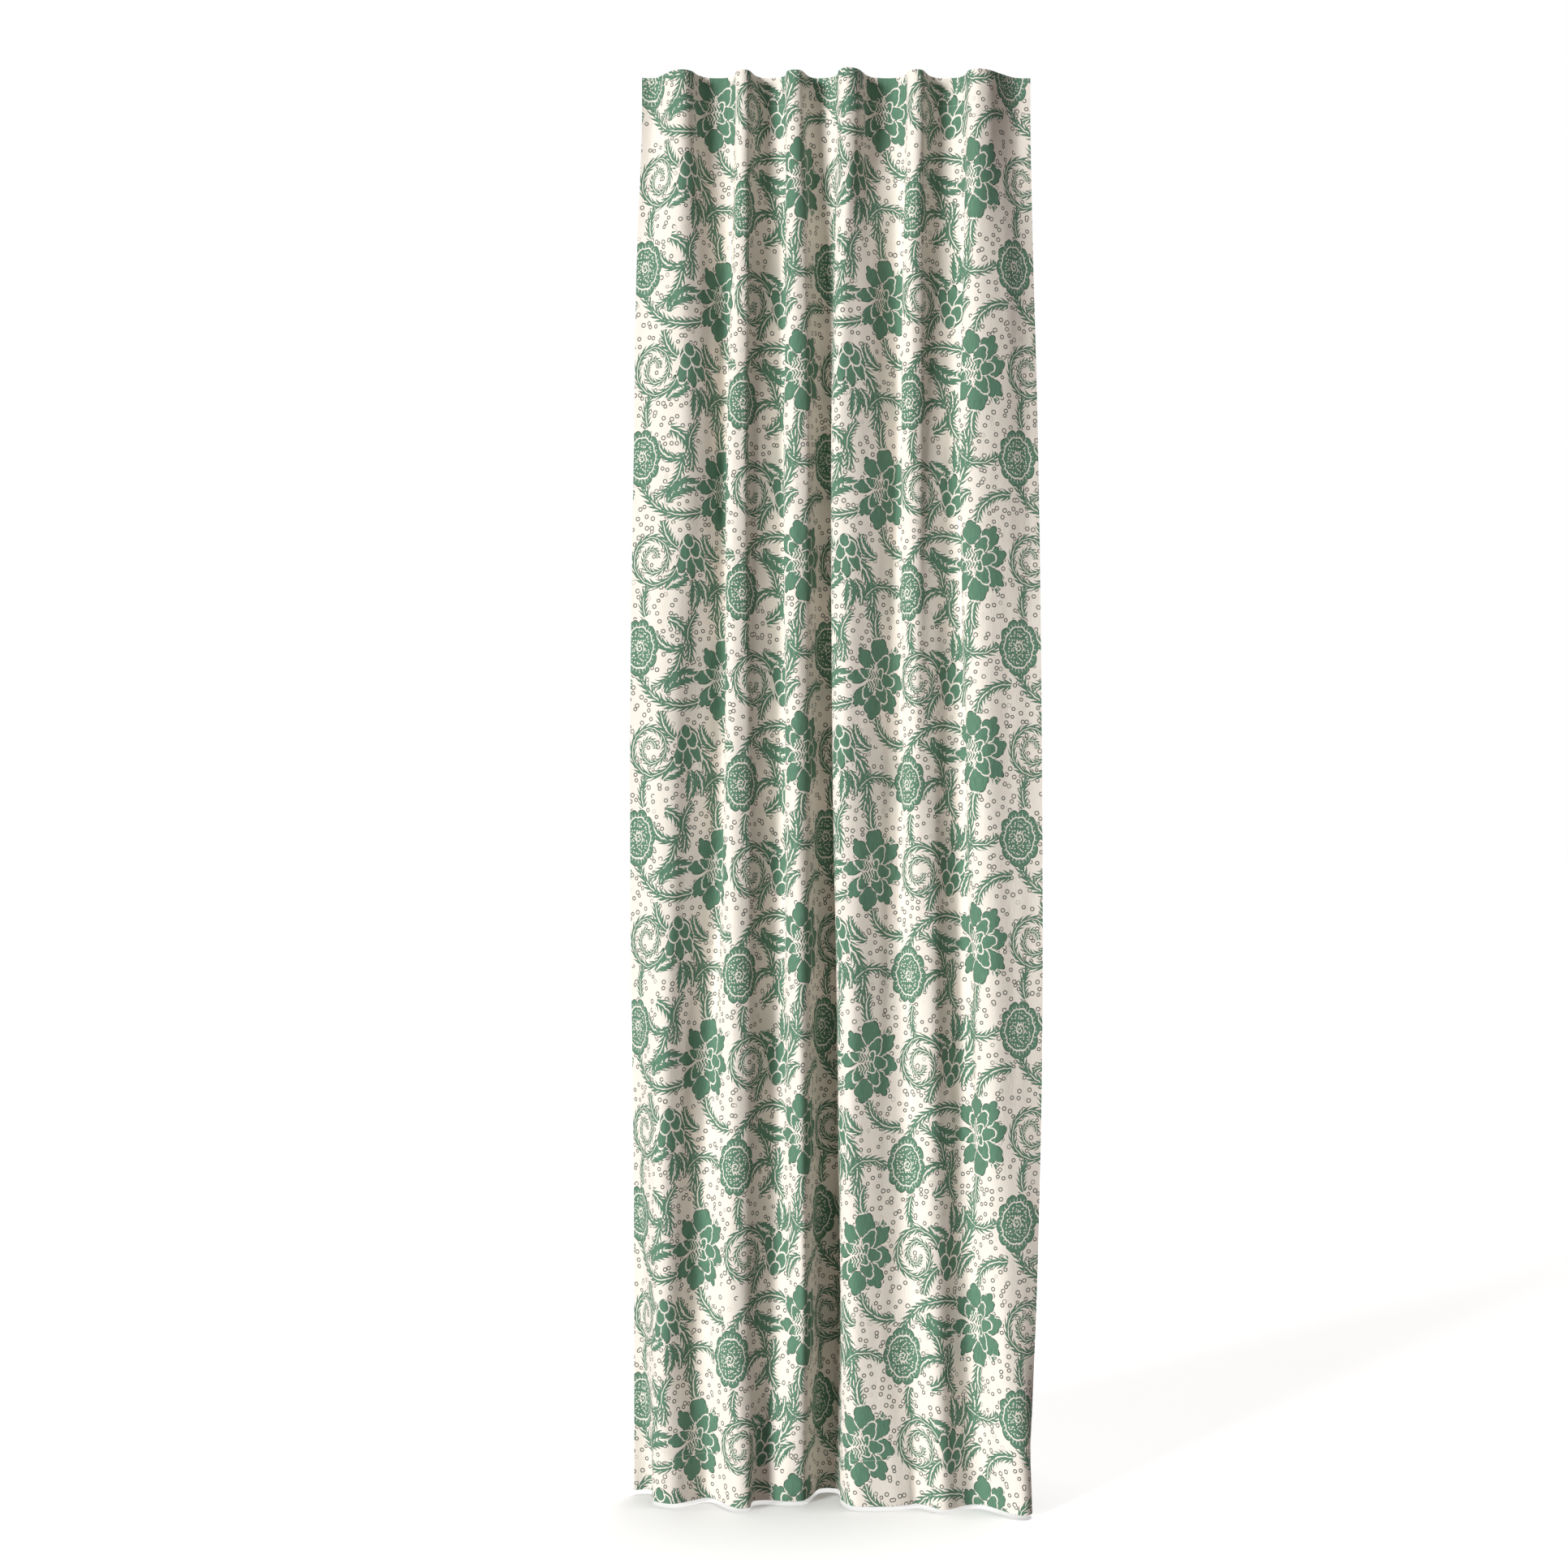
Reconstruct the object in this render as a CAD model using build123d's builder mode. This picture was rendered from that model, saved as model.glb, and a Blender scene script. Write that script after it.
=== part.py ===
# Curtain panel: printed cloth with turned hems, a heading tape with woven pockets, and moulded hooks.
# X runs along the rail, the front of the cloth faces -Y, and Z is up.
# The origin is the centre of the first hook's seat, where a rail's glider or ring carries it.
import os
from build123d import *

os.makedirs("parts", exist_ok=True)

# Driving dimensions, in mm
drop = 2400.0  # top edge of the cloth to the foot of its hem
heading_rise = 14.0  # how far the top edge stands above the hook seats
cloth_depth = 3.0  # cloth and hem layers are measured along Y
layer_depth = 1.5
layer_gap = 0.3
turnover_height = 50.0
tape_height = 42.0
tape_inset = 5.0  # top edge of the cloth to the top of the tape
heading_height = 60.0  # the folds hang straight over this much of the top
bottom_hem_height = 80.0

# Folds: the hooks hold the valleys at the top, and the crests stand between them.
hook_x = [0.0, 113.0, 198.0, 283.0, 398.0, 498.0, 629.0]
crest_x = [50.0, 146.0, 241.0, 330.0, 440.0, 562.0]
heading_fold_depth = 54.0
end_run = 14.0  # cloth past the first hook and past the last one
fold_roundness = 0.45  # how far each bend keeps its direction, as a share of the half fold
fold_flat = 3.0  # straight run at each valley and crest

# The same folds further down, as (across, behind the rail): they ease at the middle and bunch at the foot.
middle_height = -1000.0
middle_folds = [
    (-33, -50), (-6, -46), (34, -60), (109, -12), (143, -70), (211, -20), (252, -66), (289, 5),
    (334, -76), (413, -26), (445, -70), (517, -26), (562, -72), (618, -60), (660, -46),
]
foot_folds = [
    (-30, 14), (-4, 16), (38, -50), (95, -24), (158, -72), (190, -36), (255, -44), (296, 20),
    (350, -60), (440, -50), (492, -76), (545, -50), (598, -98), (620, -88), (634, -62),
]

# Hooks and pockets
hook_width = 3.0
hook_stock = 2.4  # thickness of the hook's bent section
seat_radius = 3.0
lip_drop = 2.5  # the hook's nose reaches this far below the seat's centre
pocket_wall = 1.2
pocket_play = 0.7  # room on each side of the prong, so that the hook can tip
pocket_width = 12.0
channel_width = 4.6
pocket_height = 8.0
pocket_z = -16.0  # centre of the pocket below the seat
stem_clearance = 1.0
prong_above_pocket = 5.0
bend_below_pocket = 0.4

# Care label
label_width = 28.0
label_height = 44.0
label_depth = 0.8
label_above_foot = 160.0

# Worked-out places
channel_depth = hook_stock + 2 * pocket_play
prong_to_stem = channel_depth / 2 + pocket_wall + stem_clearance + hook_stock / 2
nose_radius = seat_radius + hook_stock / 2
stem_y = -nose_radius
prong_y = stem_y - prong_to_stem
pocket_front_y = prong_y - channel_depth / 2 - pocket_wall
hem_shift = cloth_depth + layer_gap
tape_shift = hem_shift + layer_depth + layer_gap
valley_y = pocket_front_y - layer_gap - layer_depth - tape_shift
top_z = heading_rise
heading_foot_z = top_z - heading_height
foot_z = top_z - drop


def heading_fold_points():
    """Plan points of the folds at the heading, valley and crest in turn, from left to right."""
    points = [(hook_x[0] - end_run, valley_y - heading_fold_depth / 2)]
    for valley_x, next_crest_x in zip(hook_x, crest_x):
        points += [(valley_x, valley_y), (next_crest_x, valley_y - heading_fold_depth)]
    return points + [(hook_x[-1], valley_y), (hook_x[-1] + end_run, valley_y)]


fold_levels = [(heading_foot_z, heading_fold_points()), (middle_height, middle_folds), (foot_z, foot_folds)]


def folds_at(height):
    """Plan points at a height, between those of the levels above and below it."""
    if height >= heading_foot_z:
        return heading_fold_points()
    for (upper_z, upper), (lower_z, lower) in zip(fold_levels, fold_levels[1:]):
        if height >= lower_z:
            share = (upper_z - height) / (upper_z - lower_z)
            pairs = zip(upper, lower)
            return [(x + (to_x - x) * share, y + (to_y - y) * share) for (x, y), (to_x, to_y) in pairs]


def layer_outline(height, shift, depth, stretch):
    """Closed plan outline of one layer at a height, set back from the cloth's front face by shift."""
    points = folds_at(height)[stretch]
    with BuildLine(Plane.XY.offset(height)) as outline:
        for move in (shift, shift + depth):
            for (x, y), (next_x, next_y) in zip(points, points[1:]):
                bend = fold_roundness * (next_x - x)
                start, end = (x + fold_flat, y + move), (next_x, next_y + move)
                Line((x, y + move), start)
                Bezier(start, (x + bend, start[1]), (next_x - bend, end[1]), end)
        for x, y in (points[0], points[-1]):
            Line((x, y + shift), (x, y + shift + depth))
    return make_face(outline.edges())


def layer_outlines(heights, shift, depth, stretch=slice(None)):
    """Outlines of one layer, from its top down to its foot."""
    return [layer_outline(height, shift, depth, stretch) for height in heights]


# Cloth panel: the full width and drop
cloth_outlines = layer_outlines((top_z, heading_foot_z, middle_height, foot_z), 0, cloth_depth)
with BuildPart() as cloth_panel:
    loft(cloth_outlines, ruled=True, clean=False)
cloth_panel.part.label = "cloth_panel"
export_step(cloth_panel.part, "parts/cloth_panel.step")

# Heading turnover: the top edge turned down behind the cloth
turnover_foot_z = top_z - turnover_height
turnover_outlines = layer_outlines((top_z, turnover_foot_z), hem_shift, layer_depth)
with BuildPart() as heading_turnover:
    loft(turnover_outlines, ruled=True, clean=False)
heading_turnover.part.label = "heading_turnover"
export_step(heading_turnover.part, "parts/heading_turnover.step")

# Bottom hem: the foot turned up behind the cloth
hem_top_z = foot_z + bottom_hem_height
bottom_hem_outlines = layer_outlines((hem_top_z, foot_z), hem_shift, layer_depth)
with BuildPart() as bottom_hem:
    loft(bottom_hem_outlines, ruled=True, clean=False)
bottom_hem.part.label = "bottom_hem"
export_step(bottom_hem.part, "parts/bottom_hem.step")

# Side hems: the cloth's first and last runs, between the turnover and the bottom hem
side_hem_heights = (turnover_foot_z - layer_gap, heading_foot_z, middle_height, hem_top_z + layer_gap)
for hem_name, stretch in (("side_hem_left", slice(0, 2)), ("side_hem_right", slice(-2, None))):
    side_hem_outlines = layer_outlines(side_hem_heights, hem_shift, layer_depth, stretch)
    with BuildPart() as side_hem:
        loft(side_hem_outlines, ruled=True, clean=False)
    side_hem.part.label = hem_name
    export_step(side_hem.part, f"parts/{hem_name}.step")

# Heading tape: woven tape behind the turnover
tape_top_z = top_z - tape_inset
tape_outlines = layer_outlines((tape_top_z, tape_top_z - tape_height), tape_shift, layer_depth)
with BuildPart() as heading_tape:
    loft(tape_outlines, ruled=True, clean=False)
heading_tape.part.label = "heading_tape"
export_step(heading_tape.part, "parts/heading_tape.step")

# Care label: a blank label hanging behind the left side hem
label_x, label_front_y = foot_folds[1]
label_y = label_front_y + hem_shift + layer_depth + layer_gap + label_depth / 2
label_origin = (label_x, label_y, foot_z + label_above_foot)
with BuildPart() as care_label:
    with BuildSketch(Plane(origin=label_origin, x_dir=(1, 0, 0), z_dir=(0, -1, 0))):
        RectangleRounded(label_width, label_height, label_depth)
    extrude(amount=label_depth / 2, both=True)
care_label.part.label = "care_label"
export_step(care_label.part, "parts/care_label.step")

# Tape pockets: a woven loop behind each valley, open above and below for the hook's prong
for number, x in enumerate(hook_x, start=1):
    pocket_name = f"tape_pocket_{number}"
    with BuildPart() as tape_pocket:
        with BuildSketch(Plane(origin=(x, prong_y, pocket_z))):
            RectangleRounded(pocket_width, channel_depth + 2 * pocket_wall, pocket_wall)
            Rectangle(channel_width, channel_depth, mode=Mode.SUBTRACT)
        extrude(amount=pocket_height / 2, both=True)
    tape_pocket.part.label = pocket_name
    export_step(tape_pocket.part, f"parts/{pocket_name}.step")

# Hooks: a flat moulding whose prong stands in the pocket and whose nose curls over the seat
bend_z = pocket_z - pocket_height / 2 - bend_below_pocket
prong_tip_z = pocket_z + pocket_height / 2 + prong_above_pocket
for number, x in enumerate(hook_x, start=1):
    hook_name = f"hook_{number}"
    with BuildPart() as hook:
        with BuildSketch(Plane(origin=(x, 0, 0), x_dir=(0, 1, 0), z_dir=(1, 0, 0))):
            with BuildLine():
                Line((prong_y, prong_tip_z), (prong_y, bend_z))
                RadiusArc((prong_y, bend_z), (stem_y, bend_z), -prong_to_stem / 2)
                Line((stem_y, bend_z), (stem_y, 0))
                RadiusArc((stem_y, 0), (nose_radius, 0), nose_radius)
                Line((nose_radius, 0), (nose_radius, -lip_drop))
            trace(line_width=hook_stock)
        extrude(amount=hook_width / 2, both=True)
    hook.part.label = hook_name
    export_step(hook.part, f"parts/{hook_name}.step")
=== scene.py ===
import bpy
import math
import numpy as np
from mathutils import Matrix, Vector, noise


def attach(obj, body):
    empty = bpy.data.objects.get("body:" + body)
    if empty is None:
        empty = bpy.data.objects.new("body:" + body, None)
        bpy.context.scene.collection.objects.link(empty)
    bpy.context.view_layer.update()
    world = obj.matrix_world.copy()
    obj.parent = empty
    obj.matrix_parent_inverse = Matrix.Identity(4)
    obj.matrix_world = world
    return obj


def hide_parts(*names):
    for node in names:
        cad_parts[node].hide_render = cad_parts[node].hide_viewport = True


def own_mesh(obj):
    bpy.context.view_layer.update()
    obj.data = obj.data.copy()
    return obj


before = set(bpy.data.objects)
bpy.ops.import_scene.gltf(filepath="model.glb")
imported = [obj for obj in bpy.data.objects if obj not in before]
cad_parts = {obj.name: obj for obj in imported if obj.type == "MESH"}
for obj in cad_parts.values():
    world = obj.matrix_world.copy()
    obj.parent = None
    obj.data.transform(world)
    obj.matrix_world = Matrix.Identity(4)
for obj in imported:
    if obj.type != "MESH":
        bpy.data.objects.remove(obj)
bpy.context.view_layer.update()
bpy.ops.object.select_all(action="DESELECT")
print("frame loaded", len(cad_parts), "nodes")

mm = 0.001

# how the cloth hangs: plan curves from left to right, as (across, behind the rail) in millimetres
# each fold goes from a valley, by the roll that turns forward, over its brow to the far shoulder
headingPlan = [
    (-14, -17), (-6, -15.6), (0, -15), (10, -18), (26, -38), (40, -56), (58, -62), (72, -52),
    (80, -34), (92, -20), (104, -15.6), (113, -15), (126, -16), (139, -23), (144, -34), (145, -50),
    (153, -61), (164, -60), (172, -46), (177, -31), (187, -18), (198, -15), (211, -16),
    (225, -24), (229, -34), (230, -50), (239, -60), (252, -59), (260, -46), (265, -31), (274, -18),
    (283, -15), (297, -16), (311, -24), (316, -36), (318, -58), (330, -73), (346, -68), (358, -48),
    (367, -28), (385, -17), (398, -15), (412, -16), (426, -24), (432, -36), (434, -52), (444, -62),
    (456, -60), (465, -44), (471, -29), (485, -17), (498, -15), (512, -16), (526, -24), (532, -38),
    (535, -56), (547, -66), (566, -62), (586, -44), (607, -24), (620, -16.5), (629, -15), (643, -14.5)]
clothHang = {
    "flatWidth": 0.976,
    "drop": 2.4,
    "leftPrint": -0.016,   # where the left edge falls in the print
    "setBack": 0.4,        # brings the tape up to the pockets
    "threads": 977,        # points kept along each level
    "depthRange": (0.4, 2.5), "depthTries": 24,
    "tangentReach": 2 * mm,
    "levels": [
        {"height": 0.014, "pivot": -15, "plan": headingPlan},
        {"height": -0.05, "pivot": -15, "plan": headingPlan},
        {"height": -0.3, "pivot": -15, "plan": [
            (-23, -18), (-5, -26), (28, -52), (56, -62), (82, -48), (104, -26), (124, -10), (136, -12),
            (138, -38), (146, -60), (164, -60), (171, -40), (188, -24), (207, -12), (222, -8), (232, -18),
            (230, -42), (243, -58), (261, -54), (269, -38), (285, -8), (303, 0), (313, -10),
            (311, -46), (324, -72), (347, -64), (375, -46), (403, -22), (418, -16), (428, -24),
            (427, -46), (442, -60), (457, -54), (466, -38), (490, -18), (512, -12), (529, -20),
            (529, -44), (547, -62), (594, -48), (630, -22), (648, -14)]},
        {"height": -0.56, "pivot": -15, "plan": [
            (-27, -20), (-8, -30), (28, -54), (60, -62), (86, -46), (108, -24), (126, -6), (135, -12),
            (130, -38), (139, -59), (162, -58), (168, -40), (188, -24), (208, -10), (224, -4), (231, -14),
            (226, -40), (242, -58), (264, -54), (272, -36), (286, 0), (304, 8), (312, -4),
            (305, -44), (317, -68), (344, -64), (376, -46), (406, -22), (420, -14), (428, -24),
            (423, -46), (440, -60), (456, -54), (466, -38), (490, -20), (512, -10), (526, -18),
            (523, -42), (546, -58), (598, -44), (636, -20), (655, -12)]},
        {"height": -1.12, "pivot": -40, "plan": [
            (-33, -34), (-14, -42), (18, -60), (44, -60), (72, -42), (98, -26), (118, -12), (130, -14),
            (126, -40), (138, -62), (164, -58), (180, -40), (200, -22), (218, -12), (230, -18),
            (228, -40), (246, -60), (264, -52), (274, -30), (288, 6), (308, 12), (316, -2),
            (307, -44), (324, -72), (356, -64), (388, -44), (410, -28), (424, -26),
            (428, -44), (446, -64), (476, -52), (504, -28), (522, -22), (532, -34),
            (534, -52), (560, -68), (604, -56), (640, -46), (659, -44)]},
        {"height": -1.76, "pivot": -40, "plan": [
            (-31, 0), (-20, -10), (-4, -36), (10, -58), (26, -66), (52, -54), (76, -36), (94, -28),
            (108, -36), (122, -54), (138, -68), (162, -64), (184, -42), (206, -22), (222, -24), (238, -48),
            (254, -60), (268, -48), (276, -18), (290, 10), (312, 10), (322, -8),
            (318, -44), (334, -70), (372, -62), (404, -48), (430, -44),
            (450, -60), (474, -70), (500, -52), (526, -34), (542, -40),
            (550, -60), (576, -76), (614, -68), (640, -60), (656, -56)]},
        {"height": -2.12, "pivot": -40, "plan": [
            (-30, 12), (-14, 6), (2, -30), (14, -52), (30, -58), (54, -46), (78, -30), (96, -32),
            (112, -50), (130, -66), (156, -68), (184, -46), (206, -30), (226, -34), (242, -52),
            (258, -58), (270, -44), (278, -10), (292, 14), (314, 14), (324, -6),
            (322, -42), (340, -66), (384, -60), (416, -50), (440, -50),
            (458, -64), (482, -74), (508, -58), (534, -42), (552, -48),
            (562, -66), (590, -84), (618, -80), (634, -72), (644, -66)]},
        {"height": -2.386, "pivot": -40, "plan": [
            (-30, 14), (0, 14), (6, -34), (38, -50), (68, -38),
            (95, -22), (112, -30), (128, -50), (150, -70), (168, -68), (175, -38),
            (205, -33), (228, -38), (244, -38), (258, -36), (272, -14),
            (288, 20), (318, 18), (323, -30), (342, -60), (400, -61),
            (434, -54), (446, -48), (460, -54), (492, -76), (520, -62),
            (545, -51), (562, -56), (580, -72), (606, -96), (626, -102), (638, -90), (630, -76)]},
    ],
}


def bridge(f, gap, start, startSlope, end, endSlope):
    # from one value to the next, leaving and arriving along their slopes
    return ((2 * f**3 - 3 * f**2 + 1) * start + (f**3 - 2 * f**2 + f) * gap * startSlope
            + (3 * f**2 - 2 * f**3) * end + (f**3 - f**2) * gap * endSlope)


def smoothRun(points, perSpan=24):
    # a curve through the points, with each tangent along its neighbours
    points = np.array(points, float)
    gaps = np.sqrt(np.linalg.norm(np.diff(points, axis=0), axis=1))
    knots = np.concatenate([[0], np.cumsum(gaps)])
    slopes = np.gradient(points, knots, axis=0)
    f = np.linspace(0, 1, perSpan, endpoint=False)[:, None]
    run = [bridge(f, knots[i + 1] - knots[i], points[i], slopes[i], points[i + 1], slopes[i + 1])
           for i in range(len(points) - 1)]
    return np.concatenate(run + [points[-1:]])


def runLengths(run):
    return np.concatenate([[0], np.cumsum(np.linalg.norm(np.diff(run, axis=0), axis=1))])


def levelRun(level, width, threads):
    # the same width of cloth hangs at every height, so its folds deepen until they take it all
    flat = smoothRun(level["plan"])
    low, high = clothHang["depthRange"]
    for _ in range(clothHang["depthTries"]):
        depth = (low + high) / 2
        run = flat.copy()
        run[:, 1] = level["pivot"] + (flat[:, 1] - level["pivot"]) * depth
        low, high = (depth, high) if runLengths(run)[-1] < width / mm else (low, depth)
    print("  level", level["height"], "fold depth", round(depth, 3))
    along = runLengths(run)
    run[:, 1] += clothHang["setBack"]
    share = threads * along[-1]
    return np.stack([np.interp(share, along, run[:, i]) for i in (0, 1)], axis=1) * mm


threads = np.linspace(0, 1, clothHang["threads"])
levels = clothHang["levels"]
levelHeights = np.array([level["height"] for level in levels])
levelRuns = np.array([levelRun(level, clothHang["flatWidth"], threads) for level in levels])
levelSlopes = np.gradient(levelRuns, levelHeights, axis=0)


def clothPlace(across, height, depth):
    # a point on the cloth: along its flat width, at a height, and this far behind its front face
    across, height, depth = np.broadcast_arrays(across, height, depth)

    def onRuns(at):
        place = np.clip(at / clothHang["flatWidth"], 0, 1) * (len(threads) - 1)
        column = np.clip(place.astype(int), 0, len(threads) - 2)
        beside = (place - column)[..., None]
        level = np.clip(np.searchsorted(-levelHeights, -height, side="right") - 1, 0, len(levels) - 2)
        gap = (levelHeights[level + 1] - levelHeights[level])[..., None]
        f = np.clip((height - levelHeights[level])[..., None] / gap, 0, 1)

        def pick(table, row):
            return table[row, column] * (1 - beside) + table[row, column + 1] * beside

        return bridge(f, gap, pick(levelRuns, level), pick(levelSlopes, level),
                      pick(levelRuns, level + 1), pick(levelSlopes, level + 1))

    here = onRuns(across)
    ahead = onRuns(across + clothHang["tangentReach"]) - onRuns(across - clothHang["tangentReach"])
    ahead /= np.linalg.norm(ahead, axis=-1, keepdims=True)
    behind = np.stack([-ahead[..., 1], ahead[..., 0]], axis=-1)
    here = here + behind * (depth + clothRumple(across, height))[..., None]
    return np.stack([here[..., 0], here[..., 1], height], axis=-1)


topHeight = levelHeights[0]
footHeight = levelHeights[-1]
stitchRows = {"heading": topHeight - 0.047, "foot": footHeight + 0.077}
rumple = {
    # how deep each sort is in millimetres, and how often it comes in a metre across and down
    "waves": [{"deep": 1.5, "across": 16, "down": 2.4, "layer": 0},
              {"deep": 0.55, "across": 55, "down": 9, "layer": 4}],
    "pucker": {"deep": 0.8, "across": 95, "layer": 8, "dent": 0.45, "reach": 0.009, "ends": 3},
    "stillTop": 0.25,      # the waves come in over this drop below the hooks
}


def clothRumple(across, height):
    # slight waves all over, none at the hooks, and puckers along the sewn rows
    pucker = rumple["pucker"]
    wave = np.zeros(across.shape)
    for i, (u, z) in enumerate(zip(across.flat, height.flat)):
        ease = min(1, max(0, -z / rumple["stillTop"]))
        value = 0
        for sort in rumple["waves"]:
            at = Vector((u * sort["across"], z * sort["down"], sort["layer"]))
            value += ease * sort["deep"] * noise.noise(at)
        for rowHeight in stitchRows.values():
            near = abs(z - rowHeight) / pucker["reach"]
            if near < pucker["ends"]:
                at = Vector((u * pucker["across"], rowHeight, pucker["layer"]))
                value += math.exp(-near * near) * (pucker["dent"] + pucker["deep"] * noise.noise(at))
        wave.flat[i] = value
    return wave * mm


def evenly(start, end, step):
    return list(np.linspace(start, end, max(2, int(round(abs(end - start) / step)) + 1)))


def addMesh(name, points, faces):
    mesh = bpy.data.meshes.new(name)
    mesh.from_pydata(points, [], faces)
    piece = bpy.data.objects.new(name, mesh)
    bpy.context.collection.objects.link(piece)
    bpy.ops.object.select_all(action="DESELECT")
    piece.select_set(True)
    bpy.context.view_layer.objects.active = piece
    return piece


def hangSheet(name, columns, rows, thick):
    # columns are (across, depth, print across) and rows (height, depth, print down), printed side out
    columns, rows = np.array(columns), np.array(rows)
    points = clothPlace(columns[None, :, 0], rows[:, None, 0], columns[None, :, 1] + rows[:, None, 1])
    wide, tall = len(columns), len(rows)
    corner = np.arange(wide * tall).reshape(tall, wide)
    faces = np.stack([corner[:-1, :-1], corner[1:, :-1], corner[1:, 1:], corner[:-1, 1:]], axis=-1)
    piece = addMesh(name, points.reshape(-1, 3).tolist(), faces.reshape(-1, 4).tolist())
    mesh = piece.data
    flat = mesh.uv_layers.new(name="flatCloth")
    printAt = np.stack(np.broadcast_arrays(columns[None, :, 2], rows[:, None, 2]), axis=-1).reshape(-1, 2)
    loopCorner = np.empty(len(mesh.loops), int)
    mesh.loops.foreach_get("vertex_index", loopCorner)
    flat.data.foreach_set("uv", printAt[loopCorner].ravel())
    mesh.materials.append(None)   # the printed side
    mesh.materials.append(None)   # the reverse, which the modifier turns to
    shell = piece.modifiers.new("clothThickness", "SOLIDIFY")
    shell.thickness = thick
    shell.offset = -1
    shell.material_offset = 1
    shell.material_offset_rim = 0
    bpy.ops.object.modifier_apply(modifier=shell.name)
    bpy.ops.object.shade_smooth_by_angle(angle=math.radians(50))
    return piece


hems = {
    "clothThick": 0.5 * mm,
    "layerGap": 0.1 * mm,
    "turnover": 50 * mm,
    "foot": 80 * mm,
    "side": 25 * mm,
    "sideClear": 1 * mm,   # from the ends of a side hem to the turnover and the foot
}
# how far apart the mesh's columns and rows are, with fine rows over a length at the top and the foot
steps = {
    "column": 4.25 * mm, "row": 12.3 * mm,
    "topLength": 60 * mm, "topRow": 5 * mm, "footLength": 95 * mm, "footRow": 6 * mm,
    "turnoverColumn": 2 * mm, "footColumn": 2.6 * mm, "sideColumn": 3 * mm,
    "tapeColumn": 2 * mm, "tapeRow": 3 * mm, "labelColumn": 2 * mm,
}
width = clothHang["flatWidth"]
drop = clothHang["drop"]
printLeft = clothHang["leftPrint"]
layerDepth = 2 * hems["clothThick"] + hems["layerGap"]


def printColumns(acrosses):
    return [(u, 0.0, u + printLeft) for u in acrosses]


def foldRows(edge, outward, count=4):
    # rows that roll over a folded edge, from the front face to the back of the hem
    radius = layerDepth / 2
    rows = []
    for i in range(count + 1):
        turn = math.pi * i / count
        rows.append((edge + outward * radius * math.sin(turn), radius - radius * math.cos(turn),
                     radius * turn))
    return rows


clothRows = evenly(topHeight, topHeight - steps["topLength"], steps["topRow"])
clothRows += evenly(topHeight - steps["topLength"], footHeight + steps["footLength"], steps["row"])[1:]
clothRows += evenly(footHeight + steps["footLength"], footHeight, steps["footRow"])[1:]
clothPanel = hangSheet("printedCurtain", printColumns(evenly(0, width, steps["column"])),
                       [(z, 0, topHeight - z) for z in clothRows], hems["clothThick"])
print("cloth", len(clothPanel.data.polygons), "faces")

turnoverRows = [(z, layerDepth, z - topHeight)
                for z in evenly(topHeight - hems["turnover"], topHeight, steps["topRow"])]
turnoverRows += [(z, depth, -along) for z, depth, along in foldRows(topHeight, 1)[::-1][1:]]
headingTurnover = hangSheet("headingTurnover", printColumns(evenly(0, width, steps["turnoverColumn"])),
                            turnoverRows, hems["clothThick"])

hemRows = [(z, depth, drop + along) for z, depth, along in foldRows(footHeight, -1)[:-1]]
hemRows += [(z, layerDepth, drop + z - footHeight)
            for z in evenly(footHeight, footHeight + hems["foot"], steps["footRow"])]
bottomHem = hangSheet("bottomHem", printColumns(evenly(0, width, steps["footColumn"])), hemRows,
                      hems["clothThick"])


def sideColumns(edge, inward):
    roll = foldRows(edge, -inward)
    columns = [(edge + inward * u, layerDepth, edge - inward * u + printLeft)
               for u in evenly(hems["side"], 0, steps["sideColumn"])]
    columns += [(across, depth, edge + printLeft) for across, depth, along in roll[::-1][1:]]
    return columns if inward > 0 else columns[::-1]


sideTop = topHeight - hems["turnover"] - hems["sideClear"]
sideFoot = footHeight + hems["foot"] + hems["sideClear"]
sideRows = [(z, 0, topHeight - z) for z in evenly(sideTop, sideFoot, steps["row"])]
sideHemLeft = hangSheet("sideHemLeft", sideColumns(0.0, 1), sideRows, hems["clothThick"])
sideHemRight = hangSheet("sideHemRight", sideColumns(width, -1), sideRows, hems["clothThick"])

tape = {"top": 5 * mm, "height": 42 * mm, "thick": 0.8 * mm, "inset": 4 * mm, "clear": 0.05 * mm}
tapeDepth = layerDepth + tape["clear"] + tape["thick"]
tapeTop = topHeight - tape["top"]
tapeRows = [(z, tapeDepth, topHeight - z)
            for z in evenly(tapeTop, tapeTop - tape["height"], steps["tapeRow"])]
tapeColumns = printColumns(evenly(tape["inset"], width - tape["inset"], steps["tapeColumn"]))[::-1]
headingTape = hangSheet("headingTape", tapeColumns, tapeRows, tape["thick"])
print("hems and tape made")


thread = {
    "stitch": 3.0 * mm, "length": 2.5 * mm, "radius": 0.24 * mm, "sides": 5, "rounded": 0.14 * mm,
    "inFromHem": 2 * mm, "inFromEnds": 4 * mm, "proud": 0.05 * mm, "sidePitch": 1.6,
    "underTapeTop": 3 * mm, "overTapeFoot": 11 * mm,
}


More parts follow.
